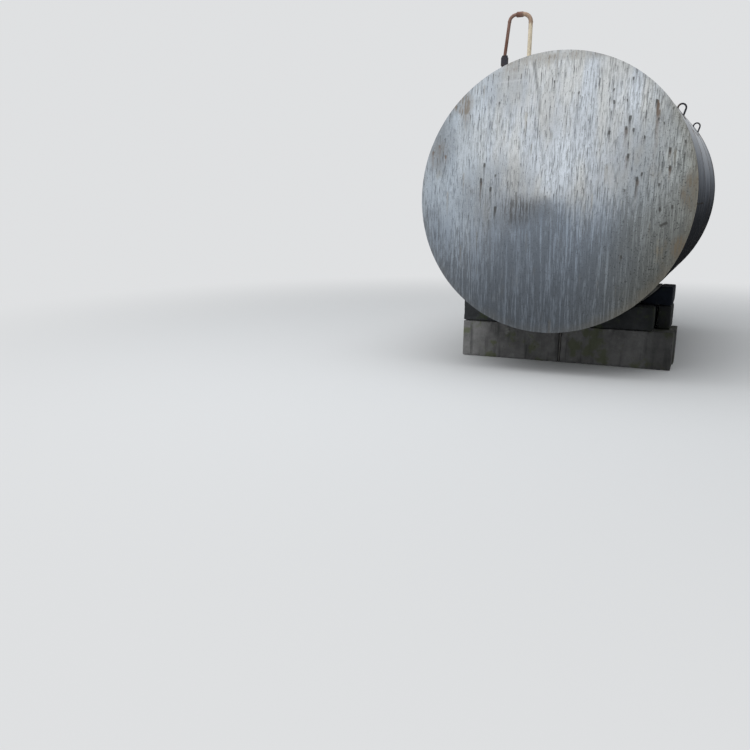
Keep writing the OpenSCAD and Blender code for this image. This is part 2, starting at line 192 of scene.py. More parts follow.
# Dark spots with a run below them, in the same form
DARK_RUNS = [
    (-0.680, 0.332, 0.031, 0.12, 0.95),
    (-0.714, 0.181, 0.036, 0.16, 1.00),
    (-0.602, 0.094, 0.036, 0.15, 0.90),
    (-0.560, 0.222, 0.021, 0.06, 0.70),
    (-0.572, 0.926, 0.021, 0.05, 0.60),
    (-0.027, 1.102, 0.022, 0.14, 0.80),
    (0.217, 0.989, 0.022, 0.41, 0.75),
    (0.554, 0.894, 0.028, 0.23, 0.90),
    (0.543, 1.003, 0.021, 0.10, 0.70),
    (0.674, 0.903, 0.021, 0.09, 0.70),
    (0.709, 1.099, 0.022, 0.08, 0.80),
    (0.717, 0.747, 0.035, 0.09, 1.00),
    (0.686, 0.653, 0.029, 0.11, 0.80),
    (0.754, 0.634, 0.027, 0.04, 0.90),
    (0.862, 0.563, 0.025, 0.06, 0.70),
    (0.538, 0.614, 0.031, 0.10, 0.85),
    (0.727, 0.400, 0.033, 0.10, 1.00),
    (1.097, 0.450, 0.032, 0.06, 1.00),
    (1.112, 0.289, 0.027, 0.05, 0.90),
    (0.868, 0.227, 0.025, 0.05, 0.90),
    (0.827, 0.184, 0.033, 0.15, 0.95),
    (1.032, 0.128, 0.025, 0.04, 0.85),
    (1.025, 0.686, 0.023, 0.15, 0.60),
    (1.091, 0.818, 0.023, 0.12, 0.55),
    (1.227, 0.519, 0.023, 0.04, 0.80),
    (-0.544, -0.102, 0.042, 0.06, 1.00),
    (-0.543, -0.126, 0.019, 0.18, 0.60),
    (1.059, -0.102, 0.029, 0.03, 0.90),
    (1.169, -0.076, 0.029, 0.04, 0.90),
    (-0.014, 0.015, 0.021, 0.25, 0.45),
    (0.739, -0.561, 0.027, 0.03, 0.75),
    (0.727, 0.072, 0.025, 0.33, 0.45),
    (0.938, 0.890, 0.026, 0.09, 0.85),
    (0.972, 0.725, 0.022, 0.05, 0.80),
]
# Stains: across, height over the axis, half width, half height, strength
BROWN_STAINS = [
    (-0.420, 1.285, 0.150, 0.075, 0.50),
    (-0.180, 1.310, 0.170, 0.070, 0.50),
    (0.200, 1.330, 0.330, 0.045, 0.45),
    (-0.450, 1.190, 0.200, 0.060, 0.20),
    (-0.960, 0.940, 0.120, 0.110, 0.95),
    (-0.920, 0.790, 0.060, 0.130, 0.45),
    (-1.205, 0.440, 0.110, 0.150, 0.35),
    (1.310, 0.060, 0.090, 0.180, 0.75),
    (1.265, -0.470, 0.080, 0.120, 0.80),
    (-0.300, -0.120, 0.150, 0.170, 0.15),
    (-0.030, 0.760, 0.110, 0.480, 0.16),
]
# Broad zones that darken the tone, in the same form, on both ends. Where the strength is below 0
# they make it paler.
TONE_ZONES = [
    (-0.530, 0.030, 0.440, 0.340, 0.30),
    (-0.290, -0.145, 0.170, 0.155, 0.34),
    (-0.500, 1.040, 0.260, 0.220, 0.18),
    (0.750, 0.350, 0.200, 0.330, 0.08),
    (-0.080, -0.090, 0.130, 0.130, 0.25),
    (0.170, 0.360, 0.300, 0.250, -0.10),
    (0.820, 0.950, 0.250, 0.180, -0.12),
    (0.330, -0.480, 0.120, 0.260, -0.10),
    (0.720, -0.480, 0.160, 0.260, 0.10),
    (-0.480, -0.580, 0.420, 0.420, 0.09),
    (1.300, -0.450, 0.160, 0.250, 0.14),
    (1.210, 0.380, 0.170, 0.270, -0.20),
    (-1.150, 0.520, 0.160, 0.300, 0.25),
]
# Dark lines: a scuff, and painted shade just right of the radial seam. Pale lines: a faint seam,
# and a painted highlight on the radial seam. Each: across and height of both ends, half width,
# strength
DARK_SCUFFS_AND_SEAM_SHADE = [
    (1.070, -0.268, 1.140, -0.235, 0.026, 0.95),
    (-0.248, 1.290, -0.172, 0.985, 0.028, 0.42),
    (-0.172, 0.985, -0.135, 0.790, 0.026, 0.34),
]
SEAM_LINE_AND_HIGHLIGHTS = [
    (-0.580, 1.112, -0.286, 1.134, 0.016, 0.25),
    (-0.290, 1.300, -0.212, 0.980, 0.022, 0.60),
    (-0.212, 0.980, -0.175, 0.780, 0.020, 0.45),
]


class Wire:
    """A shader node's output that is added, multiplied and so on like a number."""

    def __init__(self, shader, socket):
        self.shader = shader
        self.socket = socket

    def __add__(self, other):
        return self.shader.math("ADD", self, other)

    __radd__ = __add__

    def __sub__(self, other):
        return self.shader.math("SUBTRACT", self, other)

    def __rsub__(self, other):
        return self.shader.math("SUBTRACT", other, self)

    def __mul__(self, other):
        return self.shader.math("MULTIPLY", self, other)

    def __truediv__(self, other):
        return self.shader.math("DIVIDE", self, other)

    def __neg__(self):
        return self * -1.0

    def __abs__(self):
        return self.shader.math("ABSOLUTE", self)


class Shader:
    """A material with one Principled shader, and short calls that add nodes to it.

    Most of them return a Wire. Places on a surface are given in metres.
    """

    def __init__(self, name, metallic=0.0, roughness=0.6):
        self.material = bpy.data.materials.new(name)
        self.material.use_nodes = True
        self.nodes = self.material.node_tree.nodes
        self.links = self.material.node_tree.links
        self.principled = self.nodes["Principled BSDF"]
        self.put("Metallic", metallic)
        self.put("Roughness", roughness)
        self.place = Wire(self, self.nodes.new("ShaderNodeTexCoord").outputs["Object"])
        self.x, self.y, self.z = self.split(self.place)

    def join(self, value, socket):
        """Links a wire into a socket, or sets the socket to a plain value."""
        if isinstance(value, Wire):
            self.links.new(value.socket, socket)
        elif socket.type == "RGBA":
            socket.default_value = (*value, 1.0)
        else:
            socket.default_value = value

    def put(self, socket_name, value):
        self.join(value, self.principled.inputs[socket_name])

    def math(self, operation, *values):
        node = self.nodes.new("ShaderNodeMath")
        node.operation = operation
        for value, socket in zip(values, node.inputs):
            self.join(value, socket)
        return Wire(self, node.outputs[0])

    def split(self, vector):
        node = self.nodes.new("ShaderNodeSeparateXYZ")
        self.join(vector, node.inputs[0])
        return [Wire(self, socket) for socket in node.outputs]

    def vector(self, x, y, z=0.0):
        node = self.nodes.new("ShaderNodeCombineXYZ")
        for value, socket in zip((x, y, z), node.inputs):
            self.join(value, socket)
        return Wire(self, node.outputs[0])

    def rise(self, value, low, high):
        """0 below low, 1 above high, and a smooth step between."""
        node = self.nodes.new("ShaderNodeMapRange")
        node.interpolation_type = "SMOOTHSTEP"
        self.join(value, node.inputs["Value"])
        self.join(low, node.inputs["From Min"])
        self.join(high, node.inputs["From Max"])
        return Wire(self, node.outputs["Result"])

    def noise(self, point, scale=1.0, detail=3.0, roughness=0.55):
        """Noise from about 0.25 to 0.75 around 0.5."""
        node = self.nodes.new("ShaderNodeTexNoise")
        self.join(point, node.inputs["Vector"])
        self.join(scale, node.inputs["Scale"])
        self.join(detail, node.inputs["Detail"])
        self.join(roughness, node.inputs["Roughness"])
        return Wire(self, node.outputs["Fac"])

    def cells(self, point):
        """The middle of the nearest cell of a flat pattern, and three random numbers for it."""
        node = self.nodes.new("ShaderNodeTexVoronoi")
        node.voronoi_dimensions = "2D"
        self.join(point, node.inputs["Vector"])
        self.join(1.0, node.inputs["Scale"])
        middle = self.split(Wire(self, node.outputs["Position"]))
        return middle, self.split(Wire(self, node.outputs["Color"]))

    def mix(self, share, first, second):
        """The first colour, with this share of the second."""
        node = self.nodes.new("ShaderNodeMix")
        node.data_type = "RGBA"
        colours = [socket for socket in node.inputs if socket.type == "RGBA"]
        self.join(share, node.inputs[0])
        self.join(first, colours[0])
        self.join(second, colours[1])
        return Wire(self, [socket for socket in node.outputs if socket.type == "RGBA"][0])

    def scaled(self, colour, factor):
        """A colour multiplied by a number."""
        node = self.nodes.new("ShaderNodeVectorMath")
        node.operation = "SCALE"
        self.join(colour, node.inputs[0])
        self.join(factor, node.inputs["Scale"])
        return Wire(self, node.outputs[0])

    def bump(self, height, distance, strength):
        node = self.nodes.new("ShaderNodeBump")
        self.join(height, node.inputs["Height"])
        self.join(distance, node.inputs["Distance"])
        self.join(strength, node.inputs["Strength"])
        self.put("Normal", Wire(self, node.outputs[0]))

    def fall(self, value, low, high, top=1.0):
        """The top value below low, 0 above high, and a smooth step between."""
        result = self.rise(value, low, high)
        result.socket.node.inputs["To Min"].default_value = top
        result.socket.node.inputs["To Max"].default_value = 0.0
        return result

    def run(self, across, down, width, length, strength):
        """One drip: a spot at the origin with a fainter run that fades below it."""
        line = self.fall(abs(across), width * 0.12, width * 0.54)
        spot = self.fall(down, width * 0.5, width * 1.4, strength * 0.70)
        tail = self.fall(down, width * 0.5, width + length * 1.3, strength * 0.58)
        return line * self.rise(down, -width * 0.5, width * 0.1) * (spot + tail)

    def stain(self, across, down, half_width, half_height, strength):
        """One soft round stain around the origin."""
        wide, high = across / half_width, down / half_height
        return self.fall(wide * wide + high * high, 0.0, 1.6, strength)

    def marks(self, shape, across, down, rows):
        """The sum of the stains or runs in a list. shape is the call that makes one of them."""
        total = 0.0
        for place_x, place_z, *measures in rows:
            total = total + shape(across - place_x, down + place_z, *measures)
        return total

    def straight_mark(self, across, up, start_x, start_z, end_x, end_z, half_width, strength):
        """One straight line mark between two points, for scratches and for the painted highlight
        and shade of a seam.
        """
        reach = Vector((end_x, end_z)) - Vector((start_x, start_z))
        span = reach.length
        reach.normalize()
        off_x, off_up = across - start_x, up - start_z
        along = off_x * reach.x + off_up * reach.y
        beside = abs(off_x * reach.y - off_up * reach.x)
        ends = abs(along - span / 2)
        line = self.fall(beside, 0.0, half_width)
        return line * self.fall(ends, span * 0.4, span * 0.6, strength)

    def drips(self, across, down, width, length, share, seed):
        """Many drips: one in each cell of the size width by length, in this share of the cells."""
        cell_x = across / width + seed
        cell_y = down / length + seed
        (middle_x, middle_y, _), (pick, reach, slim) = self.cells(self.vector(cell_x, cell_y))
        off_x = abs(cell_x - middle_x)
        off_y = cell_y - middle_y
        half = slim * 0.16 + 0.10
        line = 1.0 - self.rise(off_x, half * 0.35, half)
        fade = self.rise(off_y, -0.05, 0.01) * (1.0 - self.rise(off_y, 0.02, reach * 0.45 + 0.12))
        picked = self.rise(pick, 1.0 - share, 1.001 - share)
        return line * fade * picked * (reach * 0.5 + 0.5)


def streaks(shader, across, down, pitch, length, seed):
    """Soft upright streaks of about a pitch and a length, around 0. The seed picks the pattern."""
    point = shader.vector(across / pitch, down / length, seed)
    return shader.noise(point, 1.0, 2.0) - 0.5


def head_paint(name, side, runs_too):
    """Weathered aluminium paint of an end: pale with fine drips above, streaked below, and darkened
    below the tip by painted shade with grime.

    side is 1 on the front end and -1 on the rear end, and also picks the patterns. The marks with
    places of their own are only on the end that has runs_too.
    """
    s = Shader(name, metallic=0.2, roughness=0.55)
    across = s.x * side
    height = s.z - AXIS_Z
    down = -height
    from_axis = s.math("SQRT", across * across + height * height)
    cloud = s.noise(s.vector(across, height * 0.6, 3.0 * side), 1.6, 4.0) - 0.5
    dashes = streaks(s, across, down, 0.013, 0.11, 1.0 + side)
    fine = streaks(s, across, down, 0.020, 0.50, 7.0 + side)
    soft = streaks(s, across, down, 0.055, 1.1, 4.0 + side)
    grain = s.noise(s.place, 110.0, 2.0) - 0.5
    # Breaks broad stains up into upright strokes
    comb = s.rise(dashes + fine, -0.13, 0.13)

    # The wedge below the tip is 1 where painted shade of the cone's lower half and grime darken it,
    # and low rises from the tip to the bottom
    shift = s.rise(across, 0.0, 0.9) * 0.36
    shade_wedge = s.rise(down / (from_axis + 0.12) + cloud * 0.8 + soft * 0.7 + shift, -0.22, 0.86)
    low = s.rise(down + cloud * 0.4, -0.1, 1.35)
    flank = s.rise(abs(across) + cloud * 0.5, 0.65, 1.40)
    right = s.rise(across + cloud * 0.6 + down * 0.25, 0.45, 1.35)
    # Painted shade with grime: the wedge and low darken the lower half, and flank darkens both
    # sides of the cone
    tone = (1.0 - shade_wedge * 0.50) * (1.0 - low * 0.61) * (1.0 - flank * 0.20) * (1.0 - right * 0.23)
    mottle = dashes * (1.6 - shade_wedge * 0.3) + fine * (1.2 + shade_wedge * 0.5) + soft * (0.35 + shade_wedge * 1.2)
    mottle = s.math("MINIMUM", mottle * (1.25 + low * 0.7), 0.10 + shade_wedge * shade_wedge * 0.60)
    mottle = s.math("MAXIMUM", mottle, shade_wedge * 0.50 - 0.60)
    tone = tone * (1.02 - shade_wedge * 0.04 + mottle + cloud * 0.35 + grain * 0.50)
    for place_x, place_z, *measures in TONE_ZONES:
        zone_shift = s.stain(across - place_x, down + place_z, *measures)
        tone = tone * (1.0 - zone_shift * (comb * 1.6 + 0.2))
    grit = s.rise(s.noise(s.place, 62.0, 2.0), 0.56, 0.70) * (right * 0.50 + shade_wedge * 0.15 + 0.10)
    tone = tone * (1.0 - grit)

    # Drips: dense short ones above, fewer below
    above = 1.0 - shade_wedge * 0.65
    small = s.drips(across, down, 0.020, 0.13, 0.45, 11.0 + side)
    large = s.drips(across, down, 0.032, 0.36, 0.50, 23.0 + side)
    speck = s.drips(across, down, 0.026, 0.045, 0.30, 37.0 + side)
    tone = tone * (1.0 - small * 0.70 * above) * (1.0 - large * 0.76 * above)
    tone = tone * (1.0 - speck * 0.55 * above)

    # Tints of the paint, which is cooler on the left and yellower on the right
    warm = s.rise(s.noise(s.vector(across * 5.0, height * 1.1, 15.0 + side), 1.0, 3.0), 0.38, 0.62)
    upper = s.mix(warm, COOL_TINT, WARM_TINT)
    left = s.rise(cloud * 0.5 - across, 0.35, 1.10)
    upper = s.mix(left * 0.8, upper, LEFT_TINT)
    # The wedge of painted shade and grime below the tip takes its own bluer tint
    colour = s.mix(shade_wedge, upper, SHADE_AND_GRIME_TINT)
    colour = s.mix(right * (0.60 + shade_wedge * 0.30), colour, RIGHT_TINT)
    colour = s.scaled(colour, tone)

    # Moss and dust along the edge, above all on the right shoulder
    ragged = (s.noise(s.place, 9.0, 4.0) - 0.5) * 0.16
    edge = s.rise(from_axis + ragged, SHELL_R - 0.11, SHELL_R + 0.01)
    colour = s.mix(edge * (0.14 + right * 0.30), colour, EDGE_MOSS)
    ochre = s.rise(s.noise(s.vector(across * 1.2, height * 0.7, 9.0 + side), 2.6, 5.0), 0.56, 0.74)
    ochre = ochre * (flank * 0.40 + right * 0.30 + 0.08) * (comb + 0.4)
    colour = s.mix(ochre, colour, OCHRE)
    old = s.drips(across, down, 0.090, 0.70, 0.25, 61.0 + side) * above
    colour = s.mix(old * 0.40, colour, OLD_DRIP)

    if runs_too:
        wave = (s.noise(s.vector(across * 4.0, down * 9.0), 1.0, 2.0) - 0.5) * 0.02
        swayed = across + wave
        rough = s.noise(s.vector(across * 60.0, down * 18.0), 1.0, 3.0) + 0.5
        torn = s.noise(s.vector(across * 9.0, down * 9.0), 1.0, 4.0) * (comb * 1.7 + 0.3)
        brown = s.marks(s.stain, across, down, BROWN_STAINS)
        rust = s.marks(s.run, swayed, down, RUST_RUNS)
        dark = s.marks(s.run, swayed, down, DARK_RUNS)
        pale = 0.0
        # The lines along the radial seam are painted shade beside it and a painted highlight on it
        for row in DARK_SCUFFS_AND_SEAM_SHADE:
            dark = dark + s.straight_mark(across, height, *row)
        for row in SEAM_LINE_AND_HIGHLIGHTS:
            pale = pale + s.straight_mark(across, height, *row)
        colour = s.mix(s.math("MINIMUM", brown * torn, 0.80), colour, BROWN)
        colour = s.mix(s.math("MINIMUM", rust * rough, 0.80), colour, RUST)
        colour = s.mix(s.math("MINIMUM", dark * rough, 0.85), colour, DARK)
        colour = s.mix(pale, colour, SEAM_PALE)

    s.put("Base Color", colour)
    s.put("Roughness", 0.50 + shade_wedge * 0.12 + grain * 0.2)
    s.bump(s.noise(s.place, 14.0, 5.0) * 0.6 + fine * 0.25 + small * 0.3 + large * 0.3, 0.0022, 0.6)
    return s.material


def shell_paint():
    """The same paint on the rolled shell: washed by rain above, and darkened underneath by painted
    shade with grime.
    """
    s = Shader("shell_paint", metallic=0.25, roughness=0.5)
    # Way along the plate from the crown, on either side
    around = abs(s.math("ARCTAN2", s.x, s.z - AXIS_Z)) * SHELL_R
    along = s.y
    side = s.rise(s.x, -0.01, 0.01) * 17.0
    cloud = s.noise(s.place, 1.4, 4.0) - 0.5
    fine = streaks(s, along + side, around, 0.020, 0.30, 2.0)
    soft = streaks(s, along + side, around, 0.09, 1.6, 5.0)
    grain = s.noise(s.place, 80.0, 2.0) - 0.5

    # Each course has a tone of its own, and painted shade with grime darkens the plate from its
    # upper half to the belly
    course = s.math("FLOOR", (along - FRONT_Y) / COURSE_L)
    course_tone = s.math("SINE", course * 2.4 - 1.2) * 0.12
    quarter = SHELL_R * math.pi / 2
    shaded_underside = s.rise(around + cloud * 0.5 + soft * 0.5, quarter - 1.05, quarter + 0.25)
    belly_shade = s.rise(around + cloud * 0.2, quarter, quarter + 0.7)
    tone = (1.0 - shaded_underside * 0.94) * (1.0 - belly_shade * 0.65)
    tone = tone * (1.0 + course_tone + fine * 0.70 + soft * 0.55 + cloud * 0.35 + grain * 0.20)
    small = s.drips(along + side, around, 0.034, 0.20, 0.36, 41.0)
    large = s.drips(along + side, around, 0.075, 0.60, 0.30, 53.0)
    tone = tone * (1.0 - small * 0.30) * (1.0 - large * 0.42)
    colour = s.mix(shaded_underside, UPPER_SHELL, SHADED_UNDER_SHELL)
    colour = s.scaled(colour, tone)

    # Painted shadow of the ends' rims on the shell beside them
    rim_shadow = s.rise(abs(along) + fine * 0.15, REAR_Y - 0.34, REAR_Y - 0.10)
    colour = s.scaled(colour, 1.0 - rim_shadow * 0.42)

    # Dust and dead moss on the crown
    crown = 1.0 - s.rise(around + (s.noise(s.place, 5.0, 5.0) - 0.5) * 0.9, 0.15, 0.95)
    colour = s.mix(crown * 0.45, colour, CROWN_DUST)

    # Rust along the welded seams, and in a few runs
    seam = 0.0
    for seam_y in SEAM_YS:
        seam = seam + (1.0 - s.rise(abs(along - seam_y), 0.006, 0.045))
    patchy = s.rise(s.noise(s.vector(along * 9.0, around * 2.2, 6.0), 1.0, 4.0), 0.46, 0.68)
    colour = s.mix(seam * patchy * 0.55, colour, SEAM_RUST)
    rust = s.drips(along + side, around, 0.22, 1.1, 0.16, 71.0)
    rust = rust * s.rise(s.noise(s.place, 30.0, 3.0), 0.40, 0.62)
    colour = s.mix(rust * (0.5 - shaded_underside * 0.4), colour, SHELL_RUST)

    s.put("Base Color", colour)
    s.put("Metallic", 0.25 - shaded_underside * 0.25)
    s.put("Specular IOR Level", 0.5 - shaded_underside * 0.48)
    s.put("Roughness", 0.46 + shaded_underside * 0.50 + grain * 0.1)
    s.bump(s.noise(s.place, 10.0, 5.0) * 0.7 + fine * 0.2 + small * 0.2, 0.0022, 0.6)
    return s.material


def weld_paint(name, tint):
    """Painted weld metal: close ripples, rust where the paint has gone, and painted shade with
    grime below the axis.
    """
    s = Shader(name, metallic=0.2, roughness=0.6)
    cloud = s.noise(s.place, 7.0, 4.0)
    colour = s.mix(s.rise(cloud, 0.46, 0.62), tint, WELD_RUST)
    # Painted shade with grime below the axis, as on the shell
    low = s.rise(AXIS_Z - s.z, -0.9, 0.1)
    colour = s.scaled(colour, (0.75 + s.noise(s.place, 120.0, 2.0) * 0.5) * (1.0 - low * 0.88))
    s.put("Specular IOR Level", 0.5 - low * 0.45)
    s.put("Metallic", 0.2 - low * 0.2)
    s.put("Roughness", 0.6 + low * 0.35)
    s.put("Base Color", colour)
    s.bump(s.noise(s.place, 160.0, 2.0), 0.0012, 0.8)
    return s.material


def rusty(name, base, flake, amount, metallic=0.25, bare_z=None):
    """Old paint over rusting steel.

    amount is the share that has rusted, and above the height bare_z nearly all has.
    """
    s = Shader(name, metallic=metallic, roughness=0.75)
    long_noise = s.noise(s.vector(s.x * 14.0, s.y * 14.0, s.z * 6.0), 1.0, 5.0)
    spots = s.rise(long_noise, 0.66 - amount * 0.4, 0.74 - amount * 0.4)
    grain = s.noise(s.place, 150.0, 3.0)
    if bare_z is not None:
        bare = s.rise(s.z + (long_noise - 0.5) * 0.3, bare_z, bare_z + 0.05)
        spots = s.math("MAXIMUM", spots, bare * 0.8)
    colour = s.mix(spots, base, flake)
    colour = s.mix(s.rise(grain, 0.5, 0.75) * 0.5, colour, DEEP_RUST)
    colour = s.scaled(colour, 0.7 + s.noise(s.place, 30.0, 4.0) * 0.6)
    s.put("Base Color", colour)
    s.bump(grain * 0.5 + spots * 0.3, 0.0012, 0.7)
    return s.material


def concrete_material(name, base, moss, moss_share, wet, ends=0.0):
    """Weathered concrete with sand, pits, lime, damp and moss.

    moss_share is how much of it has moss, wet how dark the damp runs are, and ends how much painted
    light pales the left end and painted shade darkens the right end, which is also mossier.
    """
    s = Shader(name, roughness=0.92)
    s.put("Specular IOR Level", 0.15)
    left = s.fall(s.x, -1.0, -0.6, ends)
    right = s.rise(s.x, 0.90, 1.12) * ends
    cloud = s.noise(s.place, 2.3, 5.0)
    mottle = s.noise(s.place, 14.0, 5.0)
    sand = s.noise(s.place, 170.0, 3.0)
    pits = s.rise(s.noise(s.place, 55.0, 3.0, 0.7), 0.63, 0.72)
    # Painted light at the left end and painted shade at the right end
    tone = (1.0 + left * 0.6) * (1.0 - right * 0.52)
    spotted = 0.35 + cloud * 0.9 + (mottle - 0.5) * 0.8 + (sand - 0.5) * 0.5
    colour = s.scaled(base, spotted * tone)
    runs = s.noise(s.vector(s.x * 16.0, s.y * 16.0, s.z * 1.6), 1.0, 3.0)
    colour = s.mix(s.rise(runs, 0.52, 0.70) * wet, colour, DAMP)
    lime = s.rise(s.noise(s.place, 5.5, 6.0, 0.65), 0.60, 0.70)
    colour = s.mix(lime * 0.40, colour, LIME)
    mossy = s.noise(s.place, 4.2, 6.0, 0.62) + (mottle - 0.5) * 0.3
    start = 0.64 - moss_share * 0.3
    patch = s.rise(mossy, start - right * 0.06, start + 0.10)
    colour = s.mix(patch * 0.75, colour, s.scaled(moss, tone))
    # Painted shade in the pits
    colour = s.mix(pits * 0.7, colour, PIT_SHADE)
    s.put("Base Color", colour)
    s.bump(sand * 0.35 + mottle * 0.5 - pits * 0.6 + patch * 0.4, 0.004, 0.8)
    return s.material


SHELL_PAINT = shell_paint()
FRONT_PAINT = head_paint("front_head_paint", 1.0, True)
REAR_PAINT = head_paint("rear_head_paint", -1.0, False)
WELD_PAINT = weld_paint("weld_paint", (0.30, 0.31, 0.32))
RUSTY_STEEL = rusty("rusty_steel", (0.235, 0.140, 0.110), (0.150, 0.072, 0.050), 0.6)
CREAM_PAINT = rusty("cream_paint", (0.72, 0.62, 0.46), (0.27, 0.155, 0.105), 0.22,
                    metallic=0.0, bare_z=RISER_TOP - 0.13)
DARK_IRON = rusty("dark_iron", (0.020, 0.021, 0.030), (0.050, 0.032, 0.026), 0.35, metallic=0.1)
CONCRETE = concrete_material("concrete", (0.168, 0.165, 0.162), (0.090, 0.100, 0.055),
                             moss_share=0.35, wet=0.5, ends=1.0)
# The upper blocks are darker than the base: partly their own dark concrete, partly painted shade of
# the tank above them
SHADED_CONCRETE = concrete_material("shaded_concrete", (0.040, 0.042, 0.044), (0.038, 0.046, 0.026),
                                  moss_share=0.30, wet=0.6, ends=0.8)
DEEP_SHADED_CONCRETE = concrete_material("deep_shaded_concrete", (0.008, 0.011, 0.018), (0.010, 0.016, 0.014),
                                   moss_share=0.20, wet=0.6)
MORTAR = concrete_material("mortar", (0.150, 0.145, 0.135), (0.085, 0.090, 0.050),
                           moss_share=0.20, wet=0.4)


def mesh_piece(name, vertices, faces, material, smooth=True, replaces=()):
    """Makes a piece of the tank from its vertices and faces."""
    mesh = bpy.data.meshes.new(name)
    mesh.from_pydata([tuple(vertex) for vertex in vertices], [], faces)
    return add_piece(name, mesh, material, smooth, replaces)


def add_piece(name, mesh, material, smooth=True, replaces=()):
    """Makes a piece of the tank from a mesh, with its faces turned outwards."""
    edit = bmesh.new()
    edit.from_mesh(mesh)
    bmesh.ops.recalc_face_normals(edit, faces=edit.faces)
    edit.to_mesh(mesh)
    edit.free()
    mesh.materials.clear()
    mesh.materials.append(material)
    for polygon in mesh.polygons:
        polygon.use_smooth = smooth
    piece = bpy.data.objects.new(name, mesh)
    bpy.context.scene.collection.objects.link(piece)
    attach(piece, "root")
    if replaces:
        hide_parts(*replaces)
    return piece


def middle_of(node):
    """Middle of the box around a node."""
    low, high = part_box(node)
    return (low + high) / 2


def radius_of(node):
    """Radius of a round node that is as wide as its box."""
    low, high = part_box(node)
    return (high.x - low.x) / 2


def length_of(node):
    """Length of a node along Y."""
    low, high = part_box(node)
    return high.y - low.y


def cone_reach(cone_l, r):
    """How far a cone of the length cone_l stands out from the end of the shell, at a radius."""
    return PLATE_T + (cone_l - PLATE_T) * (1 - r / SHELL_R)


def head_piece(node, name, out, material):
    """Conical end plate as rings of points, with shallow dents and an uneven edge.

    out is the way it points along Y.
    """
    base_y = FRONT_Y if out < 0 else REAR_Y
    edge_r = radius_of(node)
    cone_l = length_of(node)
    segments = 360
    rings = 70
    vertices = []
    faces = []

    def outer(r, angle):
        x, z = r * math.sin(angle), r * math.cos(angle)
        spot = Vector((x * 1.1, out * 5.0, z * 1.1))
        # The dents end towards the edge and the tip
        taper = min(1.0, (SHELL_R - r) / 0.25) * min(1.0, r / 0.2)
        dent = noise.noise(spot) * 0.0055 + noise.noise(spot * 2.7) * 0.0022
        reach = cone_reach(cone_l, r) - max(0.0, taper) * abs(dent)
        return Vector((x, base_y + out * reach, AXIS_Z + z))

    def rim(r, angle, reach):
        return Vector((r * math.sin(angle), base_y + out * reach, AXIS_Z + r * math.cos(angle)))

    for ring in range(1, rings + 1):
        for segment in range(segments):
            vertices.append(outer(SHELL_R * ring / rings, math.tau * segment / segments))
    # The uneven edge stays within the node's, and the last ring lies inside the shell's radius
    for back in (False, True):
        for segment in range(segments):
            angle = math.tau * segment / segments
            spot = Vector((math.sin(angle), math.cos(angle), out)) * 9.0
            r = edge_r - 0.0012 + noise.noise(spot) * 0.0010 + noise.noise(spot * 5.0) * 0.0006
            vertices.append(rim(r, angle, 0.0 if back else PLATE_T))
    for segment in range(segments):
        vertices.append(rim(SHELL_R - 0.004, math.tau * segment / segments, 0.0))
    for ring in range(rings + 2):
        for segment in range(segments):
            after = (segment + 1) % segments
            first, second = ring * segments, (ring + 1) * segments
            faces.append((first + segment, first + after, second + after, second + segment))
    tip = len(vertices)
    vertices.append(Vector((0, base_y + out * cone_l, AXIS_Z)))
    inner_tip = tip + 1
    vertices.append(Vector((0, base_y + out * (cone_l - 2 * PLATE_T), AXIS_Z)))
    last = (rings + 2) * segments
    for segment in range(segments):
        after = (segment + 1) % segments
        faces.append((tip, after, segment))
        faces.append((inner_tip, last + segment, last + after))
    piece = mesh_piece(name, vertices, faces, material, replaces=(node,))
    piece.data.set_sharp_from_angle(angle=math.radians(35))
    return piece


class Beads:
    """Weld beads that are gathered into one mesh."""

    def __init__(self):
        self.vertices = []
        self.faces = []

    def add(self, points, normals, size, closed=False):
        """A low round bead along points that lie on a surface with these normals."""
        width, height = size
        start = len(self.vertices)
        count = len(points)
        for index, (point, normal) in enumerate(zip(points, normals)):
            before = points[index - 1] if closed or index else point
            after = points[(index + 1) % count] if closed or index + 1 < count else point
            side = (after - before).normalized().cross(normal).normalized()
            wobble = noise.noise(point * 23.0) * 0.25 + noise.noise(point * 90.0) * 0.18
            half = width / 2 * (1 + wobble)
            top = height * (1 + wobble)
            for step in range(BEAD_SIDES + 1):
                turn = math.pi * step / BEAD_SIDES
                # Both edges of the bead go a little way into the plate
                lift = top * math.sin(turn) - (0.001 if step in (0, BEAD_SIDES) else 0.0)
                self.vertices.append(point + side * (half * math.cos(turn)) + normal * lift)
        ring = BEAD_SIDES + 1
        for index in range(count if closed else count - 1):
            first = start + index * ring
            second = start + ((index + 1) % count) * ring
            for step in range(ring):
                after = (step + 1) % ring
                self.faces.append((first + step, first + after, second + after, second + step))
        if not closed:
            self.faces.append(tuple(start + step for step in range(ring)))
            last = start + (count - 1) * ring
            self.faces.append(tuple(last + step for step in reversed(range(ring))))

    def piece(self, name, material):
        mesh_piece(name, self.vertices, self.faces, material)


def on_shell(angle, y):
    """Point on the shell at an angle above the horizontal, and the way out there."""
    out = Vector((math.cos(angle), 0, math.sin(angle)))
    return Vector((0, y, AXIS_Z)) + out * SHELL_R, out


def ring_on_shell(beads, x, y, radius, size):
    """Bead around an upright round pipe where it meets the shell."""
    count = max(24, int(math.tau * radius / PIPE_STEP))
    points, normals = [], []
    for index in range(count):
        turn = math.tau * index / count
        spot_x = x + radius * math.cos(turn)
        angle = math.acos(spot_x / SHELL_R)
        point, out = on_shell(angle, y + radius * math.sin(turn))
        outward = Vector((math.cos(turn), math.sin(turn), 0))
        points.append(point)
        normals.append((out + outward * 0.6).normalized())
    beads.add(points, normals, size, closed=True)


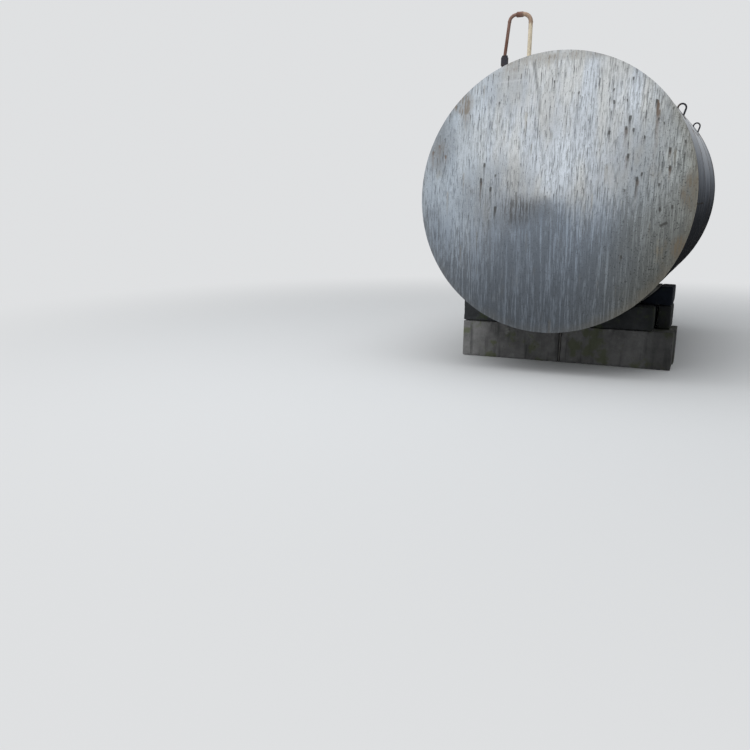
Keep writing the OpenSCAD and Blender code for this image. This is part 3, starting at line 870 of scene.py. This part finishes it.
def flat_ring(beads, middle, radius, size, way):
    """Bead around an upright pipe at a flat plate: above the plate if way is 1, below if -1."""
    count = max(24, int(math.tau * radius / PIPE_STEP))
    points, normals = [], []
    for index in range(count):
        turn = math.tau * index / count
        outward = Vector((math.cos(turn), math.sin(turn), 0))
        points.append(middle + outward * radius)
        normals.append((Vector((0, 0, way)) + outward).normalized())
    beads.add(points, normals, size, closed=True)


def shell_welds():
    """Long seams of the three courses, and the beads that join the ends to the shell."""
    beads = Beads()
    for (low, high), right_angle in zip(COURSES, LONG_SEAMS):
        for degrees in (right_angle, right_angle + 180):
            points, normals = [], []
            for step in range(LONG_STEPS + 1):
                y = low.y + LONG_GAP + (high.y - low.y - 2 * LONG_GAP) * step / LONG_STEPS
                point, out = on_shell(math.radians(degrees), y)
                points.append(point)
                normals.append(out)
            beads.add(points, normals, LONG_BEAD)
    beads.piece("long_seam_beads", WELD_PAINT)
    for end, base_y, way in (("front", FRONT_Y, 1), ("rear", REAR_Y, -1)):
        edge = Beads()
        points, normals = [], []
        for index in range(RIM_STEPS):
            point, out = on_shell(math.tau * index / RIM_STEPS, base_y + way * RIM_IN)
            points.append(point)
            normals.append((out + Vector((0, way, 0)) * 0.9).normalized())
        edge.add(points, normals, RIM_BEAD, closed=True)
        edge.piece(end + "_rim_weld", WELD_PAINT)


def head_welds():
    """Radial seam of each conical end."""
    for name, node, base_y, out, angle, material in (
            ("front_seam_bead", "front_head", FRONT_Y, -1, FRONT_SEAM, FRONT_PAINT),
            ("rear_seam_bead", "rear_head", REAR_Y, 1, REAR_SEAM, REAR_PAINT)):
        cone_l = length_of(node)
        beads = Beads()
        points, normals = [], []
        for step in range(RADIAL_STEPS + 1):
            r = RADIAL_FROM + (SHELL_R - RADIAL_FROM - RADIAL_TO) * step / RADIAL_STEPS
            sway = noise.noise(Vector((r * 3.0, out, 0))) * 0.004
            x = -r * math.sin(angle) + sway
            z = r * math.cos(angle)
            reach = cone_reach(cone_l, r) - 0.0006
            points.append(Vector((x, base_y + out * reach, AXIS_Z + z)))
            normals.append(Vector((0, out, 0)))
        beads.add(points, normals, RADIAL_BEAD)
        beads.piece(name, material)


def fitting_welds():
    """Beads at the feet of the lugs, the manhole, the nozzle and the breather pipe."""
    beads = Beads()
    for node in ("lug_front_right", "lug_rear_right", "lug_front_left", "lug_rear_left"):
        middle = middle_of(node)
        side = 1 if middle.x > 0 else -1
        for step in (-1, 1):
            foot_x = middle.x + side * LUG_SHIFT + step * LUG_FOOT
            ring_on_shell(beads, foot_x, middle.y, LUG_BEAD_R, LUG_BEAD)

    x, y, _ = middle_of("manhole_neck")
    neck_r = radius_of("manhole_neck")
    pipe_r = radius_of("nozzle_pipe")
    flange_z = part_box("manhole_flange")[0].z
    cover_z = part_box("manhole_cover")[1].z
    nozzle_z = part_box("nozzle_flange")[0].z
    ring_on_shell(beads, x, y, neck_r + NECK_OUT, NECK_BEAD)
    flat_ring(beads, Vector((x, y, flange_z)), neck_r, COVER_BEAD, -1.0)
    flat_ring(beads, Vector((x, y, cover_z)), pipe_r, COVER_BEAD, 1.0)
    flat_ring(beads, Vector((x, y, nozzle_z)), pipe_r, NOZZLE_BEAD, -1.0)

    middle = middle_of("vent_nipple")
    ring_on_shell(beads, middle.x, middle.y, radius_of("vent_nipple"), PIPE_BEAD)
    # The riser bends to the left, so its upright pipe is at the right end of its box
    riser_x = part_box("vent_riser")[1].x - PIPE_WELD_H - RISER_D / 2
    ring_on_shell(beads, riser_x, middle_of("vent_riser").y, RISER_D / 2, PIPE_BEAD)
    beads.piece("fitting_welds", WELD_PAINT)


def hexagon(vertices, faces, middle, across, height, turn):
    """Six-sided head or nut with its upper corners cut back, standing on a point."""
    start = len(vertices)
    radius = across / math.sqrt(3)
    for share, level in ((1.0, 0.0), (1.0, 0.8), (0.88, 1.0)):
        for corner in range(6):
            angle = turn + math.tau * corner / 6
            x, y = radius * share * math.cos(angle), radius * share * math.sin(angle)
            vertices.append(middle + Vector((x, y, height * level)))
    for level in range(2):
        for corner in range(6):
            after = (corner + 1) % 6
            low, high = start + level * 6, start + level * 6 + 6
            faces.append((low + corner, low + after, high + after, high + corner))
    faces.append(tuple(start + 12 + corner for corner in range(6)))
    faces.append(tuple(start + corner for corner in reversed(range(6))))


def disc(vertices, faces, middle, radius, height, segments):
    """Washer, or the thread of a bolt, standing on a point."""
    start = len(vertices)
    for level in (0.0, height):
        for segment in range(segments):
            angle = math.tau * segment / segments
            x, y = radius * math.cos(angle), radius * math.sin(angle)
            vertices.append(middle + Vector((x, y, level)))
    upper = start + segments
    for segment in range(segments):
        after = (segment + 1) % segments
        faces.append((start + segment, start + after, upper + after, upper + segment))
    faces.append(tuple(upper + segment for segment in range(segments)))
    faces.append(tuple(start + segment for segment in reversed(range(segments))))


def manhole_bolts():
    """Bolts around the manhole cover: head and washer above, nut and thread below the flange."""
    middle = middle_of("manhole_cover")
    cover_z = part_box("manhole_cover")[1].z
    flange_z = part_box("manhole_flange")[0].z
    circle_r = (radius_of("manhole_cover") + radius_of("manhole_neck")) / 2 + BOLT_OUT
    vertices, faces = [], []
    for index in range(BOLTS):
        angle = math.tau * (index + 0.5) / BOLTS
        x, y = middle.x + circle_r * math.cos(angle), middle.y + circle_r * math.sin(angle)
        turn = random.uniform(0, math.tau)
        washer, head = Vector((x, y, cover_z)), Vector((x, y, cover_z + WASHER_T))
        thread, nut = Vector((x, y, flange_z - THREAD_DROP)), Vector((x, y, flange_z - NUT_DROP))
        disc(vertices, faces, washer, WASHER_R, WASHER_T, 20)
        hexagon(vertices, faces, head, BOLT_FLATS, BOLT_HEAD_H, turn)
        disc(vertices, faces, thread, THREAD_R, THREAD_DROP, 12)
        hexagon(vertices, faces, nut, BOLT_FLATS, NUT_H, turn + 0.4)
    mesh_piece("manhole_bolts", vertices, faces, RUSTY_STEEL, smooth=False)


def rough_block(node, name, material, cell, worn):
    """Weathered copy of a concrete node: worn edges, chips and uneven faces, all of it inwards."""
    source = frame["nodes"][node]
    low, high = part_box(node)
    copy = source.copy()
    copy.data = source.data.copy()
    copy.parent = None
    bpy.context.scene.collection.objects.link(copy)
    remesh = copy.modifiers.new("remesh", "REMESH")
    remesh.mode = "VOXEL"
    remesh.voxel_size = cell
    graph = bpy.context.evaluated_depsgraph_get()
    mesh = bpy.data.meshes.new_from_object(copy.evaluated_get(graph))
    bpy.data.objects.remove(copy)
    mesh.name = name
    normals = [vertex.normal.copy() for vertex in mesh.vertices]
    for vertex, normal in zip(mesh.vertices, normals):
        spot = vertex.co
        # Distance to the nearest edge of the box around the block
        gaps = sorted(min(spot[axis] - low[axis], high[axis] - spot[axis]) for axis in range(3))
        edge = max(0.0, gaps[1])
        near = max(0.0, 1 - edge / WORN_EDGE)
        chip = noise.noise(spot * 9.0) + 0.6 * noise.noise(spot * 27.0) + 0.05
        chip = max(0.0, chip) * near * near
        swell = noise.noise(spot * 3.1) * 0.5 + noise.noise(spot * 12.0) * 0.3
        swell += noise.noise(spot * 38.0) * 0.25
        depth = worn * (0.25 * (swell + 0.8) + 2.6 * chip + 0.35 * near)
        vertex.co = spot - normal * depth
    add_piece(name, mesh, material, replaces=(node,))


def saddles():
    """All the blocks and the mortar of both saddles."""
    finish = {
        "base_left": CONCRETE, "base_right": CONCRETE, "saddle_left": SHADED_CONCRETE,
        "saddle_right": SHADED_CONCRETE, "packing_block": SHADED_CONCRETE, "top_block": DEEP_SHADED_CONCRETE,
    }
    for end in ("front", "rear"):
        for block, material in finish.items():
            node = f"{end}_{block}"
            rough_block(node, node + "_weathered", material, BLOCK_CELL, BLOCK_WEAR)
        node = f"{end}_mortar"
        rough_block(node, node + "_rough", MORTAR, MORTAR_CELL, MORTAR_WEAR)


def paint_nodes():
    """Gives the CAD nodes that stay their finished materials."""
    finish = {
        "shell_paint": SHELL_PAINT, "head_paint": SHELL_PAINT, "dark_iron": DARK_IRON,
        "rusty_steel": RUSTY_STEEL, "cream_paint": CREAM_PAINT, "concrete": CONCRETE,
        "mortar": MORTAR,
    }
    for row in frame["record"]["subparts"]:
        weld = row["node"].startswith("girth_weld")
        piece = frame["nodes"][row["node"]]
        piece.data.materials.clear()
        piece.data.materials.append(WELD_PAINT if weld else finish[row["material_slot"]])


def background(nodes, links):
    """Socket that is 1 for rays that see the pale background: direct, mirrored or let through."""
    path = nodes.new("ShaderNodeLightPath")
    seen = path.outputs["Is Camera Ray"]
    for name in ("Is Glossy Ray", "Is Transmission Ray"):
        either = nodes.new("ShaderNodeMath")
        either.operation = "MAXIMUM"
        links.new(seen, either.inputs[0])
        links.new(path.outputs[name], either.inputs[1])
        seen = either.outputs[0]
    return seen


def stage():
    """Pale floor that fades into the background, the world, and soft lamps above."""
    floor_material = bpy.data.materials.new("pale_floor")
    floor_material.use_nodes = True
    nodes, links = floor_material.node_tree.nodes, floor_material.node_tree.links
    diffuse = nodes["Principled BSDF"]
    diffuse.inputs["Base Color"].default_value = (*FLOOR, 1)
    diffuse.inputs["Roughness"].default_value = 0.9
    glow = nodes.new("ShaderNodeEmission")
    glow.inputs["Color"].default_value = (*BACKGROUND, 1)
    place = nodes.new("ShaderNodeTexCoord")
    distance = nodes.new("ShaderNodeVectorMath")
    distance.operation = "LENGTH"
    links.new(place.outputs["Object"], distance.inputs[0])
    fade = nodes.new("ShaderNodeMapRange")
    fade.interpolation_type = "SMOOTHSTEP"
    fade.inputs["From Min"].default_value = FADE_FROM
    fade.inputs["From Max"].default_value = FADE_TO
    links.new(distance.outputs["Value"], fade.inputs["Value"])
    share = nodes.new("ShaderNodeMath")
    share.operation = "MULTIPLY"
    links.new(fade.outputs["Result"], share.inputs[0])
    links.new(background(nodes, links), share.inputs[1])
    mixed = nodes.new("ShaderNodeMixShader")
    links.new(share.outputs[0], mixed.inputs[0])
    links.new(diffuse.outputs[0], mixed.inputs[1])
    links.new(glow.outputs[0], mixed.inputs[2])
    links.new(mixed.outputs[0], nodes["Material Output"].inputs["Surface"])

    corners = ((-1, -1), (1, -1), (1, 1), (-1, 1))
    vertices = [(x * FLOOR_REACH, y * FLOOR_REACH, 0) for x, y in corners]
    mesh = bpy.data.meshes.new("floor")
    mesh.from_pydata(vertices, [], [(0, 1, 2, 3)])
    mesh.materials.append(floor_material)
    floor = bpy.data.objects.new("floor", mesh)
    floor.location.z = -FLOOR_DROP
    bpy.context.scene.collection.objects.link(floor)

    world = bpy.data.worlds.new("studio")
    world.use_nodes = True
    bpy.context.scene.world = world
    nodes, links = world.node_tree.nodes, world.node_tree.links
    light = nodes["Background"]
    light.inputs["Color"].default_value = (*SKY, 1)
    light.inputs["Strength"].default_value = SKY_STRENGTH
    shown = nodes.new("ShaderNodeBackground")
    shown.inputs["Color"].default_value = (*BACKGROUND, 1)
    shown.inputs["Strength"].default_value = 1.0
    mixed = nodes.new("ShaderNodeMixShader")
    links.new(background(nodes, links), mixed.inputs[0])
    links.new(light.outputs[0], mixed.inputs[1])
    links.new(shown.outputs[0], mixed.inputs[2])
    links.new(mixed.outputs[0], nodes["World Output"].inputs["Surface"])

    for name, place, aim, size, power in LAMPS:
        lamp = bpy.data.lights.new(name, "AREA")
        lamp.shape = "SQUARE"
        lamp.size = size
        lamp.energy = power
        lamp.color = LAMP_COLOUR
        lamp_object = bpy.data.objects.new(name, lamp)
        lamp_object.location = place
        way = Vector(aim) - Vector(place)
        lamp_object.rotation_euler = way.to_track_quat("-Z", "Y").to_euler()
        bpy.context.scene.collection.objects.link(lamp_object)


def camera():
    """The photograph's viewpoint, fitted to the outlines of the ends."""
    data = bpy.data.cameras.new("camera")
    data.sensor_width = 36.0
    data.lens = CAMERA_LENS
    data.shift_x, data.shift_y = CAMERA_SHIFT
    data.clip_end = 300.0
    view = bpy.data.objects.new("camera", data)
    view.location = CAMERA_PLACE
    view.rotation_euler = [math.radians(turn) for turn in CAMERA_TURN]
    bpy.context.scene.collection.objects.link(view)
    bpy.context.scene.camera = view


camera()
stage()
paint_nodes()
head_piece("front_head", "front_head_plate", -1, FRONT_PAINT)
head_piece("rear_head", "rear_head_plate", 1, REAR_PAINT)
head_welds()
shell_welds()
fitting_welds()
manhole_bolts()
saddles()

bpy.context.scene.view_settings.view_transform = "Standard"
